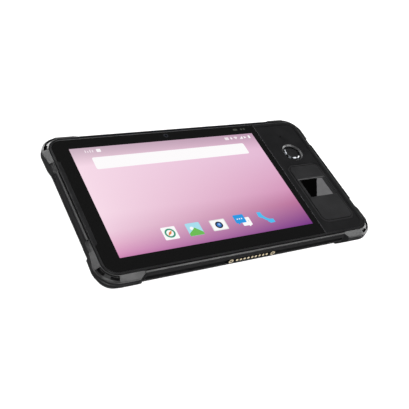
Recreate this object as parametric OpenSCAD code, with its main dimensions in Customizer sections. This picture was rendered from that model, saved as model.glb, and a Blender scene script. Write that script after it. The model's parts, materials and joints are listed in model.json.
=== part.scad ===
// Rugged field tablet for collecting data: an 8 inch display with a control panel on its right
// that holds a round button and an optical fingerprint reader.
// +Z points out of the display, +Y to the top of the picture, +X to the control panel.
// The origin is at the middle of the footprint, on the surface that the tablet lies on.

/* [Case] */
// Length over the ridge that runs round the front
case_len = 243.4; // [240:0.1:247]
// Width over the same ridge
case_wid = 135.2; // [133:0.1:139]
// Corner radius of the ridge, seen from the front
corner_r = 13; // [12:0.5:15]
// How far the corner bumpers stand out from the ridge
bumper_out = 3.8; // [3.4:0.1:4.4]
// Length of each bumper's straight run on the long sides
bumper_run_x = 17; // [13:0.1:19]
// Length of each bumper's straight run on the short sides
bumper_run_y = 21.5; // [19:0.1:26]

/* [Front] */
// Lit width of the display
lit_len = 172.2; // [165:0.1:173]
// Lit height of the display
lit_wid = 107.6; // [103:0.1:108]
// Where the middle of the display is, along X
lit_x = -19.2; // [-20:0.1:-19]
// Where the seam between the glass and the control panel is, along X
seam_x = 73.4; // [73:0.1:74]
// How far the sunk field of the control panel lies below the glass
field_drop = 0.4; // [0.2:0.05:0.5]

/* [Controls] */
// Radius of the round button's cap
cap_r = 5.7; // [5:0.1:5.8]
// How far the round button travels
cap_travel = 0.6; // [0.3:0.05:0.6]
// Length of the fingerprint window
window_len = 24.5; // [22:0.1:25]
// Height of the fingerprint window
window_wid = 20; // [18:0.1:21]

/* [Battery] */
// Length of the battery pack
battery_len = 112; // [100:1:113]
// Width of the battery pack
battery_wid = 76; // [66:1:77]

/* [Hidden] */
$fn = 96;

// Heights above the table, from the back to the front.
back_z = 0.8;
wall = 1.8;
floor_z = back_z + wall;
split_z = 8.7;
chassis_z = 10.6;
shelf_z = 11.8;
ledge_z = 15.4;
tape_z = ledge_z + 0.15;
glass_z = 17.5;
rim_z = 17.9;
groove_z = 16.2;
field_z = glass_z - field_drop;

// Half sizes of the ridge outline, and offsets from it (outward is positive).
half_x = case_len / 2;
half_y = case_wid / 2;
corner_x = half_x - corner_r;
corner_y = half_y - corner_r;
rim_out = -1.5;
glass_out = -3.2;
ledge_in = -5.6;
field_out = -5.9;
shell_out = 1.5;
frame_in = -0.2;
bumper_in = -0.9;
tail_out = 2.4;
main_run_y = bumper_run_y - 10;

// Shallow panels sunk in the side walls.
recess_floor = 0.7;
recess_z = [9.2, 12.9];
recess_r = 1.84;
recess_end_x = 91;
recess_end_y = 32;

// Places on the front.
lit_y = 0.8;
button_x = 96.3;
button_y = 26.9;
window_x = 96;
window_y = -16.1;
reader_x = [78.8, 114];
reader_y = [-54, 11.6];
reader_border = 2;
mic_x = 95;
mic_y = 47.4;
camera_x = -17.7;
sensor_x = 56.2;
eyes_y = 60.6;

// Round button stack.
ring_in = cap_r + 0.2;
ring_out = 8.4;
dish_r = 10;

// Dock connector on the front long side.
dock_z = 11;
dock_low = split_z + 0.05;
dock_high = dock_z + 2;
dock_face = half_y + 1.3;
guide_x = 19.3;
guide_r = 1.2;
guide_len = 2.6;
contact_count = 9;
contact_pitch = 3.45;
pad_r = 1;
pad_tall = 2.1;

// Keys on the back long side.
key_z = 12.4;
key_face = half_y + 2.6;
power_x = -70;
power_len = 12;
rocker_x = -38;
rocker_len = 26;
key_tall = 3.4;
pin_r = 0.5;
rocker_pin_y = half_y - 1.6;
running_gap = 0.05;

// Ports on the right end.
port_face = half_x;
door_pin_x = port_face + 0.7;
door_pin_z = 10.3;
door_top = 14.5;
door_len = 46;
door_half = 0.8;
socket_out = port_face - 0.4;
socket_in = 110.8;
usb_y = 0;
audio_y = 14;
card_y = -15;

// Battery bay in the back.
bay_x = -32;
bay_len = battery_len + 8;
bay_wid = battery_wid + 8;
rebate = 3;

// Fixings.
screw_xs = [-106, -35, 36, 106];
screw_y = 52;
strap_x = 104;
strap_y = 24;
strap_r = 1.25;

// ---- Shared shapes ----

// Rounded rectangle that lies a given distance outside the ridge outline.
module outline(out) {
    r = corner_r + out;
    square([2 * (half_x + out), 2 * corner_y], center = true);
    square([2 * corner_x, 2 * (half_y + out)], center = true);
    for (sx = [-1, 1], sy = [-1, 1])
        translate([sx * corner_x, sy * corner_y])
            circle(r = r);
}

module slab(out, low, high) {
    translate([0, 0, low])
        linear_extrude(high - low)
            outline(out);
}

// Section points are [distance outside the ridge, height].
function section(points) = [for (p = points) [corner_r + p[0], p[1]]];

module straight_run(points, length) {
    rotate([90, 0, 0])
        linear_extrude(length)
            polygon(section(points));
}

// A section swept all the way round the case.
module swept_ring(points) {
    for (turn = [0, 180])
        rotate([0, 0, turn]) {
            translate([corner_x, corner_y, 0])
                straight_run(points, 2 * corner_y);
            translate([-corner_x, corner_y, 0])
                rotate([0, 0, 90])
                    straight_run(points, 2 * corner_x);
            translate([corner_x, corner_y, 0])
                rotate_extrude(angle = 90)
                    polygon(section(points));
            translate([-corner_x, corner_y, 0])
                rotate([0, 0, 90])
                    rotate_extrude(angle = 90)
                        polygon(section(points));
        }
}

// A section swept round one corner, with straight runs either side of it.
module swept_corner(points, run_x, run_y) {
    straight_run(points, run_y);
    rotate_extrude(angle = 90)
        polygon(section(points));
    translate([-run_x, 0, 0])
        rotate([0, 0, 90])
            straight_run(points, run_x);
}

// Puts something made at the +X +Y corner's centre onto the corner with these signs.
module at_corner(sx, sy) {
    mirror([sx < 0 ? 1 : 0, 0, 0])
        mirror([0, sy < 0 ? 1 : 0, 0])
            translate([corner_x, corner_y, 0])
                children();
}

module block(x, y, z) {
    translate([x[0], y[0], z[0]])
        cube([x[1] - x[0], y[1] - y[0], z[1] - z[0]]);
}

module disc(x, y, r, low, high) {
    translate([x, y, low])
        cylinder(r = r, h = high - low);
}

module plate(x, y, low, high, r) {
    translate([0, 0, low])
        linear_extrude(high - low) {
            translate([x[0], y[0] + r])
                square([x[1] - x[0], y[1] - y[0] - 2 * r]);
            translate([x[0] + r, y[0]])
                square([x[1] - x[0] - 2 * r, y[1] - y[0]]);
            for (cx = [x[0] + r, x[1] - r], cy = [y[0] + r, y[1] - r])
                translate([cx, cy])
                    circle(r = r);
        }
}

module at_screws() {
    for (x = screw_xs, sy = [-1, 1])
        translate([x, sy * screw_y, 0])
            children();
}

module at_straps() {
    for (sx = [-1, 1], sy = [-1, 1])
        translate([sx * strap_x, sy * strap_y, 0])
            children();
}

// ---- Case ----

// From the glass outwards: rim, groove, ridge, then the side wall down to the rear shell.
frame_section = [
    [glass_out + 0.1, ledge_z], [glass_out + 0.1, rim_z - 0.25], [glass_out + 0.35, rim_z],
    [rim_out - 0.2, rim_z - 0.2], [rim_out, rim_z - 0.45], [rim_out + 0.1, groove_z],
    [bumper_in + 0.1, groove_z], [-0.6, 17.45], [-0.3, 17.45], [0.7, 16.85], [0.9, 16.3],
    [0.9, 15.3], [1.2, 14.9], [shell_out, 9.3], [shell_out, 9], [shell_out - 0.3, split_z],
    [frame_in, split_z], [frame_in, shelf_z], [ledge_in, shelf_z], [ledge_in, ledge_z]
];

// The bumpers' section, and that of their thinner tails on the short sides.
bumper_back = -4.2;
facet_out = 3.35;
bumper_section = [
    [bumper_in, 17.45], [facet_out, 15], [facet_out, 14.6], [facet_out - 0.3, 14.3],
    [3.65, 13.95], [bumper_out, 13.7], [bumper_out, 11.9], [bumper_out - 0.3, 11.6],
    [bumper_out, 11.3], [bumper_out, 9.2], [bumper_out - 0.3, 8.6], [-1.8, 0.6], [-3.2, 0],
    [bumper_back - 1, 0], [bumper_back, 1.3], [0.4, 6.3], [0.4, 13.6], [bumper_in, 15.8]
];
tail_section = [
    [bumper_in, 17.45], [1.9, 14.85], [tail_out, 13.6], [tail_out, 9.4], [1.4, 7.6],
    [0.4, 6.6], [0.4, 13.6], [bumper_in, 15.8]
];
// What they take out of the case.
bumper_space = [
    [bumper_in, 18.2], [bumper_out + 2, 18.2], [bumper_out + 2, -1], [bumper_back - 1.3, -1],
    [bumper_back - 1, 0], [bumper_back, 1.3], [0.4, 6.3], [0.4, 13.6], [bumper_in, 15.8]
];
tail_space = [
    [bumper_in, 18.2], [bumper_out + 2, 18.2], [bumper_out + 2, 7.6], [1.4, 7.6], [0.4, 6.6],
    [0.4, 13.6], [bumper_in, 15.8]
];

module bumper_room() {
    for (sx = [-1, 1], sy = [-1, 1])
        at_corner(sx, sy) {
            swept_corner(bumper_space, bumper_run_x, main_run_y);
            translate([0, -main_run_y, 0])
                straight_run(tail_space, bumper_run_y - main_run_y);
        }
}

module front_frame() {
    color([0.13, 0.13, 0.14])
        difference() {
            union() {
                swept_ring(frame_section);
                // Solid wall behind the port cover.
                block([116, port_face + 0.8], [-27, 24], [split_z + 0.1, shelf_z + 0.1]);
            }
            bumper_room();
            dock_room();
            key_room();
            port_room();
            camera_room();
            side_recesses();
            strip_shape(0.6);
        }
}

// Long shallow panels with round ends, sunk in the side walls between the bumpers.
module side_recesses() {
    for (turn = [0, 180])
        rotate([0, 0, turn])
            translate([0, -half_y - recess_floor, 0])
                rotate([90, 0, 0])
                    plate([-recess_end_x, recess_end_x], recess_z, 0, 3, recess_r);
    translate([-half_x - recess_floor, 0, 0])
        rotate([90, 0, -90])
            plate([-recess_end_y, recess_end_y], recess_z, 0, 3, recess_r);
}

module dock_room() {
    block([-guide_x - 4.4, guide_x + 4.4], [-half_y - 4, -half_y + 4.9],
          [split_z - 0.1, dock_high + 0.15]);
}

module key_room() {
    for (k = [[power_x, power_len], [rocker_x, rocker_len]])
        block([k[0] - k[1] / 2 - 0.3, k[0] + k[1] / 2 + 0.3], [half_y - 2.4, half_y + 4],
              [key_z - key_tall / 2 - 0.3, key_z + key_tall / 2 + 0.3]);
    // Hidden pocket that holds the switches and the rocker's pin.
    block([power_x - 12, rocker_x + 18], [half_y - 6, half_y - 1], [10.2, 14.8]);
    disc(rocker_x, rocker_pin_y, pin_r, 10.2, 15.3);
}

module port_room() {
    block([port_face - 0.1, port_face + 4], [-door_len / 2 - 0.3, door_len / 2 + 0.3],
          [door_pin_z - door_half - 0.3, door_top + 0.3]);
    block([110, port_face + 1], [usb_y - 4.6, usb_y + 4.6], [10.05, 13.5]);
    block([110, 116.2], [audio_y - 3.3, audio_y + 3.3], [9, 14.6]);
    translate([110, audio_y, 12])
        rotate([0, 90, 0])
            cylinder(r = 2.45, h = 12);
    block([110, port_face + 1], [card_y - 7.1, card_y + 7.1], [10.05, 12]);
    // Blind holes for the pin's two ends.
    translate([door_pin_x, -door_len / 2 - 1.6, door_pin_z])
        rotate([-90, 0, 0])
            cylinder(r = pin_r, h = door_len + 3.2);
}

module camera_room() {
    block([camera_x - 3.8, camera_x + 3.8], [57, 64.2], [shelf_z - 1, glass_z]);
}

shell_section = [
    [0.2, split_z], [0.2, 7.9], [-5.4, floor_z + 0.4], [-9, floor_z], [-9, back_z],
    [-6.4, back_z], [-4.6, 1.5], [shell_out, 7.7], [shell_out, 8.5], [shell_out - 0.3, split_z]
];

module rear_shell() {
    color([0.11, 0.11, 0.12])
        difference() {
            union() {
                swept_ring(shell_section);
                slab(-8.5, back_z, floor_z);
                at_screws()
                    translate([0, 0, back_z])
                        cylinder(r = 2.6, h = chassis_z - back_z);
                at_straps()
                    translate([0, 0, back_z])
                        cylinder(r = 3, h = 3.6);
            }
            bumper_room();
            at_screws() {
                translate([0, 0, -1])
                    cylinder(r = 1.1, h = 14);
                translate([0, 0, back_z - 1])
                    cylinder(r = 2, h = 2.2);
            }
            at_straps()
                translate([0, 0, back_z - 1])
                    cylinder(r = 2, h = 4);
            plate([bay_x - bay_len / 2, bay_x + bay_len / 2], [-bay_wid / 2, bay_wid / 2], 0, 4, 4);
            plate([bay_x - bay_len / 2 - rebate, bay_x + bay_len / 2 + rebate],
                  [-bay_wid / 2 - rebate, bay_wid / 2 + rebate], 0, back_z + 0.9, 6);
            at_cover_screws()
                translate([0, 0, back_z])
                    cylinder(r = 0.8, h = 3);
            disc(camera_back_x, camera_back_y, 5.2, 0, 4);
            disc(flash_x, camera_back_y, 2.6, 0, 4);
            for (i = [-3 : 3])
                plate([speaker_x + i * 3.2 - 0.6, speaker_x + i * 3.2 + 0.6],
                      [speaker_y - 3.5, speaker_y + 3.5], 0, 4, 0.59);
        }
}

gasket_section = [[-0.9, 8.1], [-0.3, 8.1], [-0.3, 10.2], [-0.9, 10.2]];

module case_gasket() {
    color([0.3, 0.3, 0.32])
        difference() {
            swept_ring(gasket_section);
            block([114, 126], [-27, 24.2], [0, 12]);
            dock_room();
        }
}

module mid_frame() {
    color([0.62, 0.63, 0.65])
        difference() {
            slab(frame_in - 0.2, chassis_z, shelf_z);
            block([77, 130], [-44, 38], [8, 14]);
            block([-guide_x - 5, guide_x + 5], [-80, -half_y + 8], [8, 14]);
            block([power_x - 13, rocker_x + 19], [half_y - 7.5, 80], [8, 14]);
            at_screws()
                cylinder(r = 1, h = 20);
            camera_room();
        }
}

module case_screws() {
    color([0.55, 0.55, 0.57])
        at_screws()
            difference() {
                union() {
                    translate([0, 0, back_z + 0.2])
                        cylinder(r = 1.8, h = 1);
                    translate([0, 0, back_z + 0.2])
                        cylinder(r = 1, h = shelf_z - back_z - 0.3);
                }
                translate([0, 0, back_z - 1])
                    cylinder(r = 0.9, h = 1.8, $fn = 6);
            }
}

module strap_inserts() {
    color([0.72, 0.58, 0.3])
        at_straps()
            difference() {
                translate([0, 0, back_z])
                    cylinder(r = 2, h = 3);
                translate([0, 0, back_z - 1])
                    cylinder(r = strap_r, h = 3.6);
            }
}

// ---- Corner bumpers ----

// Trench round the corner, one step below the facet, inside a bar with a steeper top.
trench_out = 2.3;
trench_section = [
    [-0.3, 18], [-0.3, 15.9], [trench_out, 14.5], [trench_out, 15.5], [3.5, 14.3], [3.5, 18]
];
trench_from = 10;

module trench() {
    rotate([0, 0, trench_from])
        rotate_extrude(angle = 90 - 2 * trench_from)
            polygon(section(trench_section));
}

// Slot for a lanyard, cut down through one end of the trench.
slot_angle = 25;
slot_x = [corner_r, corner_r + trench_out];
slot_floor = 8;

module lanyard_slot(from) {
    translate([0, 0, slot_floor])
        rotate([0, 0, from])
            rotate_extrude(angle = slot_angle)
                translate([slot_x[0], 0])
                    square([slot_x[1] - slot_x[0], 12]);
}

// How gently each bumper's tail slants back to the case, on the left side and on the right.
left_slant = 2.8;
right_slant = 9;

module bumper(sx, sy) {
    color([0.16, 0.16, 0.17])
        at_corner(sx, sy)
            difference() {
                union() {
                    swept_corner(bumper_section, bumper_run_x, main_run_y);
                    translate([0, -main_run_y, 0])
                        straight_run(tail_section, bumper_run_y - main_run_y);
                }
                trench();
                lanyard_slot(trench_from);
                lanyard_slot(90 - trench_from - slot_angle);
                // The end on the long side slants back to the case.
                translate([-bumper_run_x, corner_r, -1])
                    linear_extrude(20)
                        polygon([[-1, 0.2], [6.8, 5.4], [-1, 5.4]]);
                // The short side's run thins towards the tail, and the tail ends in a slant.
                translate([corner_r, -main_run_y, 0])
                    linear_extrude(20)
                        polygon([[tail_out, -1], [tail_out, 0.1], [bumper_out + 0.1, main_run_y + 2],
                                 [bumper_out + 1, main_run_y + 2], [bumper_out + 1, -1]]);
                translate([corner_r, -bumper_run_y, 0])
                    linear_extrude(20)
                        polygon([[0.4, -1], [3.6, sx > 0 ? right_slant : left_slant], [3.6, -1]]);
            }
}

// ---- Display ----

module front_half(left_side) {
    x = left_side ? [-140, seam_x - 0.15] : [seam_x + 0.15, 140];
    intersection() {
        children();
        block(x, [-80, 80], [0, 30]);
    }
}

module cover_glass() {
    color([0.05, 0.05, 0.06])
        front_half(true)
            slab(glass_out, tape_z, glass_z);
}

module glass_adhesive() {
    color([0.2, 0.2, 0.2])
        front_half(true)
            difference() {
                slab(glass_out - 0.1, ledge_z, tape_z);
                slab(ledge_in, ledge_z - 1, glass_z);
                camera_room();
            }
}

module display_panel() {
    x = [lit_x - lit_len / 2 - 2.6, lit_x + lit_len / 2 + 2.6];
    y = [lit_y - lit_wid / 2 - 2.6, lit_y + lit_wid / 2 + 1.4];
    color([0.86, 0.62, 0.8])
        block(x, y, [14.2, tape_z]);
}

module backlight_unit() {
    x = [lit_x - lit_len / 2 - 3, lit_x + lit_len / 2 + 3];
    y = [lit_y - lit_wid / 2 - 3, lit_y + lit_wid / 2 + 1.6];
    color([0.8, 0.8, 0.82])
        block(x, y, [shelf_z, 14.2]);
}

// Flat strip with slanted ends that lies half on the glass and half on the rim.
module strip_shape(thickness) {
    x = [-half_x + 2.6, -half_x + 5.3];
    y = [-40.5, 43.5];
    translate([0, 0, glass_z])
        linear_extrude(thickness)
            polygon([[x[0], y[0]], [x[1], y[0] + 2.2], [x[1], y[1] - 2.2], [x[0], y[1]]]);
}

module left_bezel_strip() {
    color([0.2, 0.2, 0.21])
        strip_shape(0.5);
}

// ---- Control panel ----

module control_panel() {
    color([0.16, 0.16, 0.17])
        difference() {
            union() {
                front_half(false)
                    slab(glass_out, tape_z, glass_z);
                for (dx = [-1, 1])
                    disc(button_x + dx * 12.5, button_y, 1.4, 11.4, tape_z + 0.1);
            }
            // Sunk field inside a narrow border.
            intersection() {
                slab(field_out, field_z, 30);
                block([seam_x + 1.5, 140], [-80, 80], [0, 30]);
            }
            disc(mic_x, mic_y, 1.1, 0, 30);
            disc(button_x, button_y, ring_out + 0.1, 0, 30);
            translate([button_x, button_y, field_z - 0.9])
                cylinder(r1 = ring_out + 0.1, r2 = dish_r + 0.1, h = 1);
            plate([reader_x[0] - reader_gap, reader_x[1] + reader_gap],
                  [reader_y[0] - reader_gap, reader_y[1] + reader_gap],
                  0, 30, reader_base_r + reader_gap);
        }
}

module microphone_mesh() {
    color([0.05, 0.05, 0.05])
        disc(mic_x, mic_y, 1.05, 16, 16.3);
}

module microphone() {
    color([0.7, 0.7, 0.6])
        disc(mic_x, mic_y, 2, 14, tape_z);
}

module button_cap() {
    color([0.1, 0.1, 0.11])
        translate([button_x, button_y, 0])
            rotate_extrude()
                polygon([[0, 13.3], [1.5, 13.3], [1.5, 14.1], [cap_r + 1.4, 14.1],
                         [cap_r + 1.4, 14.7], [cap_r, 14.7], [cap_r, 16.6], [cap_r - 0.4, 16.95],
                         [3, 16.75], [0, 16.7]]);
}

// A crown that slopes outwards stands inside a lower flat collar; the flange is hidden.
crown_out = 7.15;
collar_z = 15.9;

module button_ring() {
    color([0.85, 0.86, 0.88])
        translate([button_x, button_y, 0])
            rotate_extrude()
                polygon([[ring_in, 14.8], [9.6, 14.8], [9.6, 15.5], [ring_out, 15.5],
                         [ring_out, collar_z], [crown_out, collar_z], [crown_out, 16.63],
                         [crown_out - 0.55, 17.03], [ring_in + 0.15, 17.3], [ring_in, 17.15]]);
}

module button_switch() {
    color([0.8, 0.8, 0.78]) {
        block([button_x - 3, button_x + 3], [button_y - 3, button_y + 3], [11.4, 12.2]);
        disc(button_x, button_y, 1.6, 12.1, 12.65);
    }
}

module button_board() {
    color([0.05, 0.3, 0.16])
        block([button_x - 14, button_x + 14], [button_y - 6, button_y + 6], [10.6, 11.4]);
}

// ---- Fingerprint reader ----

reader_top = field_z + 0.25;
reader_base_top = reader_top - 0.35;
reader_step_z = reader_top - 0.5;
reader_base_r = 7;
reader_gap = 0.3;

module reader_bezel() {
    wx = [window_x - window_len / 2, window_x + window_len / 2];
    wy = [window_y - window_wid / 2, window_y + window_wid / 2];
    color([0.22, 0.22, 0.23])
        difference() {
            union() {
                plate(reader_x, reader_y, tape_z, reader_base_top, reader_base_r);
                plate([reader_x[0] + reader_border, reader_x[1] - reader_border],
                      [reader_y[0] + reader_border, reader_y[1] - reader_border],
                      reader_base_top - 0.05, reader_top, reader_base_r - reader_border);
            }
            // Step round the window, whose far wall slopes down to the glass.
            translate([wx[0] - 2.2, 0, 0])
                rotate([90, 0, 90])
                    linear_extrude(window_len + 5)
                        polygon([[wy[0], reader_step_z], [wy[1] + 0.3, reader_step_z],
                                 [wy[1] + 1.2, reader_top], [wy[1] + 1.2, reader_top + 1],
                                 [wy[0], reader_top + 1]]);
            block(wx, wy, [0, 30]);
        }
}

module reader_prism() {
    x = [window_x - window_len / 2 + 0.1, window_x + window_len / 2 - 0.1];
    y = [window_y - window_wid / 2 + 0.1, window_y + window_wid / 2 - 0.1];
    color([0.45, 0.46, 0.48])
        translate([0, y[1], 0])
            rotate([90, 0, 0])
                linear_extrude(y[1] - y[0])
                    polygon([[x[0], 16.3], [x[0] + 5.7, 10.4], [x[1] - 3, 10.4], [x[1], 13],
                             [x[1], reader_step_z - 0.15], [x[0], reader_step_z - 0.15]]);
}

module reader_housing() {
    x = [window_x - window_len / 2 - 2.2, window_x + window_len / 2 + 1.6];
    y = [window_y - window_wid / 2 - 2, window_y + window_wid / 2 + 2];
    color([0.08, 0.08, 0.08])
        difference() {
            block(x, y, [9, tape_z]);
            block([x[0] + 1.6, x[1] - 1.4], [y[0] + 1.5, y[1] - 1.5], [10.3, 30]);
        }
}

module reader_sensor_board() {
    color([0.05, 0.3, 0.16])
        block([window_x - 16, window_x + 15], [window_y - 13, window_y + 13], [8.2, 9]);
}

module reader_lights() {
    color([0.9, 0.9, 0.8])
        for (dy = [-6, 0, 6])
            block([window_x - 11.9, window_x - 9.5], [window_y + dy - 1, window_y + dy + 1],
                  [10.3, 11.2]);
}

// ---- Dock connector ----

module dock_housing() {
    color([0.09, 0.09, 0.1])
        difference() {
            union() {
                block([-guide_x - 4, guide_x + 4], [-dock_face + 0.6, -half_y + 4],
                      [dock_low, dock_high]);
                translate([0, -dock_face + 0.7, dock_z])
                    rotate([90, 0, 0])
                        plate([-guide_x - 3, guide_x + 3], [-1.9, 1.8], 0, 0.7, 1.8);
            }
            at_guides()
                rotate([90, 0, 0])
                    translate([0, 0, -0.1])
                        cylinder(r = guide_r + 0.6, h = 8, center = true);
            at_contacts()
                dock_pill(8);
        }
}

module at_guides() {
    for (sx = [-1, 1])
        translate([sx * guide_x, -dock_face, dock_z])
            children();
}

module at_contacts() {
    for (i = [0 : contact_count - 1])
        translate([(i - (contact_count - 1) / 2) * contact_pitch, -dock_face, dock_z])
            children();
}

// Upright oval pad whose long axis is Z, centred on its own depth.
module dock_pill(depth) {
    rotate([90, 0, 0])
        translate([0, 0, -depth / 2])
            linear_extrude(depth) {
                square([2 * pad_r, pad_tall - 2 * pad_r], center = true);
                for (s = [-1, 1])
                    translate([0, s * (pad_tall / 2 - pad_r)])
                        circle(r = pad_r);
            }
}

module dock_contacts() {
    color([0.8, 0.66, 0.35])
        at_contacts()
            translate([0, 1.9, 0])
                dock_pill(4.1);
}

module dock_guide_rings() {
    color([0.8, 0.7, 0.45])
        at_guides()
            rotate([90, 0, 0])
                difference() {
                    union() {
                        translate([0, 0, -guide_len])
                            cylinder(r = guide_r + 0.6, h = guide_len);
                        cylinder(r = guide_r + 0.8, h = 0.3);
                    }
                    translate([0, 0, -guide_len])
                        cylinder(r = guide_r, h = guide_len + 1);
                }
}

module dock_board() {
    color([0.05, 0.3, 0.16])
        block([-guide_x - 3, guide_x + 3], [-half_y + 4, -half_y + 4.8], [dock_low, dock_high]);
}

// ---- Keys ----

module power_key() {
    color([0.14, 0.14, 0.15]) {
        translate([0, key_face, key_z])
            rotate([90, 0, 0])
                plate([power_x - power_len / 2, power_x + power_len / 2],
                      [-key_tall / 2, key_tall / 2], 0, 3.6, 1.4);
        block([power_x - 1, power_x + 1], [key_face - 4.1, key_face - 3.5], [key_z - 1, key_z + 1]);
    }
}

module volume_rocker() {
    color([0.14, 0.14, 0.15])
        difference() {
            union() {
                translate([0, key_face, key_z])
                    rotate([90, 0, 0])
                        plate([rocker_x - rocker_len / 2, rocker_x + rocker_len / 2],
                              [-key_tall / 2, key_tall / 2], 0, 3.4, 1.4);
                block([rocker_x - 1.2, rocker_x + 1.2], [rocker_pin_y - 1, key_face - 3],
                      [key_z - 1.2, key_z + 1.2]);
            }
            translate([rocker_x, rocker_pin_y, 0])
                cylinder(r = pin_r + running_gap, h = 30);
        }
}

module volume_rocker_pin() {
    color([0.7, 0.7, 0.72])
        disc(rocker_x, rocker_pin_y, pin_r, 10.2, 15.3);
}

switch_tip_y = half_y - 2.3;

module key_switches() {
    color([0.8, 0.8, 0.78])
        for (x = [power_x, rocker_x - 8, rocker_x + 8])
            block([x - 1.5, x + 1.5], [half_y - 5.2, switch_tip_y], [key_z - 1.3, key_z + 1.3]);
}

module key_board() {
    color([0.05, 0.3, 0.16])
        block([power_x - 10, rocker_x + 16], [half_y - 5.9, half_y - 5.2], [10.3, 14.7]);
}

// ---- Ports ----

module port_cover() {
    color([0.15, 0.15, 0.16])
        difference() {
            union() {
                block([door_pin_x - door_half, door_pin_x + door_half],
                      [-door_len / 2, door_len / 2], [door_pin_z, door_top]);
                translate([door_pin_x, -door_len / 2, door_pin_z])
                    rotate([-90, 0, 0])
                        cylinder(r = door_half, h = door_len);
                // Lip for a fingernail.
                block([door_pin_x + door_half - 0.2, door_pin_x + door_half + 0.6], [-5, 5],
                      [door_top - 0.9, door_top]);
            }
            translate([door_pin_x, -door_len / 2 - 1, door_pin_z])
                rotate([-90, 0, 0])
                    cylinder(r = pin_r + running_gap, h = door_len + 2);
        }
}

module port_cover_pin() {
    color([0.7, 0.7, 0.72])
        translate([door_pin_x, -door_len / 2 - 1.6, door_pin_z])
            rotate([-90, 0, 0])
                cylinder(r = pin_r, h = door_len + 3.2);
}

module usb_socket() {
    color([0.75, 0.76, 0.78])
        translate([socket_in, usb_y, 11.75])
            rotate([90, 0, 90])
                difference() {
                    plate([-4.47, 4.47], [-1.63, 1.63], 0, socket_out - socket_in, 1.6);
                    plate([-4.1, 4.1], [-1.25, 1.25], 3, 20, 1.2);
                }
    color([0.1, 0.1, 0.1])
        block([socket_in + 2.8, socket_out - 1], [usb_y - 3.3, usb_y + 3.3], [11.4, 12.1]);
}

module audio_socket() {
    color([0.1, 0.1, 0.1])
        difference() {
            union() {
                block([socket_in, 115.9], [audio_y - 3, audio_y + 3], [10.05, 14.2]);
                translate([115.8, audio_y, 12])
                    rotate([0, 90, 0])
                        cylinder(r = 2.4, h = socket_out - 115.8);
            }
            translate([socket_in + 1, audio_y, 12])
                rotate([0, 90, 0])
                    cylinder(r = 1.8, h = 20);
        }
}

module card_socket() {
    color([0.75, 0.76, 0.78])
        difference() {
            block([socket_in, socket_out], [card_y - 7, card_y + 7], [10.1, 11.9]);
            block([socket_in + 1, 130], [card_y - 6, card_y + 6], [10.6, 11.5]);
        }
}

module port_board() {
    color([0.05, 0.3, 0.16])
        block([socket_in - 0.2, 115.8], [-25, 22], [9.25, 10.05]);
}

// ---- Electronics ----

module main_board() {
    color([0.05, 0.3, 0.16])
        difference() {
            block([36, 109.5], [-36, 34], [5, 6]);
            at_straps()
                cylinder(r = 3.2, h = 9);
        }
}

module processor_shield() {
    color([0.75, 0.76, 0.78])
        difference() {
            block([42, 66], [-12, 14], [6, 8]);
            block([42.3, 65.7], [-11.7, 13.7], [5, 7.7]);
        }
}

module radio_shield() {
    color([0.75, 0.76, 0.78])
        difference() {
            block([42, 72], [-33, -15], [6, 7.8]);
            block([42.3, 71.7], [-32.7, -15.3], [5, 7.5]);
        }
}

module radio_antenna() {
    color([0.75, 0.55, 0.35])
        block([-95, -60], [55, 59.5], [3, 3.3]);
}

module near_field_coil() {
    color([0.75, 0.55, 0.35])
        difference() {
            plate([-72, 8], [-30, 30], 8.6, 8.9, 5);
            plate([-66, 2], [-24, 24], 8, 9.5, 3);
        }
}

module battery() {
    color([0.25, 0.25, 0.27])
        plate([bay_x - battery_len / 2, bay_x + battery_len / 2], [-battery_wid / 2, battery_wid / 2],
              2, 8.2, 3);
}

module battery_contacts() {
    color([0.8, 0.66, 0.35])
        for (i = [-2 : 2])
            block([bay_x + battery_len / 2, bay_x + bay_len / 2 - 0.5], [i * 3 - 0.8, i * 3 + 0.8],
                  [3.5, 5.5]);
}

cover_x = [bay_x - bay_len / 2 - rebate + 0.2, bay_x + bay_len / 2 + rebate - 0.2];
cover_y = [-bay_wid / 2 - rebate + 0.2, bay_wid / 2 + rebate - 0.2];
cover_screw_y = bay_wid / 2 + 1.5;

module at_cover_screws() {
    for (x = [-46, 0, 46], sy = [-1, 1])
        translate([bay_x + x, sy * cover_screw_y, 0])
            children();
}

module battery_cover() {
    color([0.12, 0.12, 0.13])
        difference() {
            union() {
                plate([cover_x[0] + 1, cover_x[1] - 1], [cover_y[0] + 1, cover_y[1] - 1], 0, 1, 5);
                plate(cover_x, cover_y, 0.6, back_z + 0.9, 5.8);
            }
            at_cover_screws()
                cylinder(r = 0.9, h = 5);
            at_cover_screws()
                translate([0, 0, -1])
                    cylinder(r = 1.4, h = 1.7);
        }
}

module battery_cover_gasket() {
    x = [bay_x - bay_len / 2 + 0.1, bay_x + bay_len / 2 - 0.1];
    y = [-bay_wid / 2 + 0.1, bay_wid / 2 - 0.1];
    color([0.5, 0.2, 0.2])
        difference() {
            plate(x, y, back_z + 0.9, 2.5, 3.9);
            plate([x[0] + 1, x[1] - 1], [y[0] + 1, y[1] - 1], 0, 6, 3);
        }
}

module battery_cover_screws() {
    color([0.55, 0.55, 0.57])
        at_cover_screws()
            difference() {
                union() {
                    translate([0, 0, 0.1])
                        cylinder(r = 1.3, h = 0.6);
                    translate([0, 0, 0.1])
                        cylinder(r = 0.8, h = 2.4);
                }
                translate([0, 0, -0.9])
                    cylinder(r = 0.6, h = 1.4, $fn = 6);
            }
}

camera_back_x = 60;
camera_back_y = 46;
flash_x = 74;
speaker_x = 74;
speaker_y = -48;

module rear_camera() {
    color([0.1, 0.1, 0.12]) {
        block([camera_back_x - 5, camera_back_x + 5], [camera_back_y - 5, camera_back_y + 5],
              [4.6, 8]);
        disc(camera_back_x, camera_back_y, 3.6, 2.2, 4.7);
    }
}

module rear_camera_window() {
    color([0.1, 0.12, 0.16])
        disc(camera_back_x, camera_back_y, 5.1, back_z, 2);
}

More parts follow.
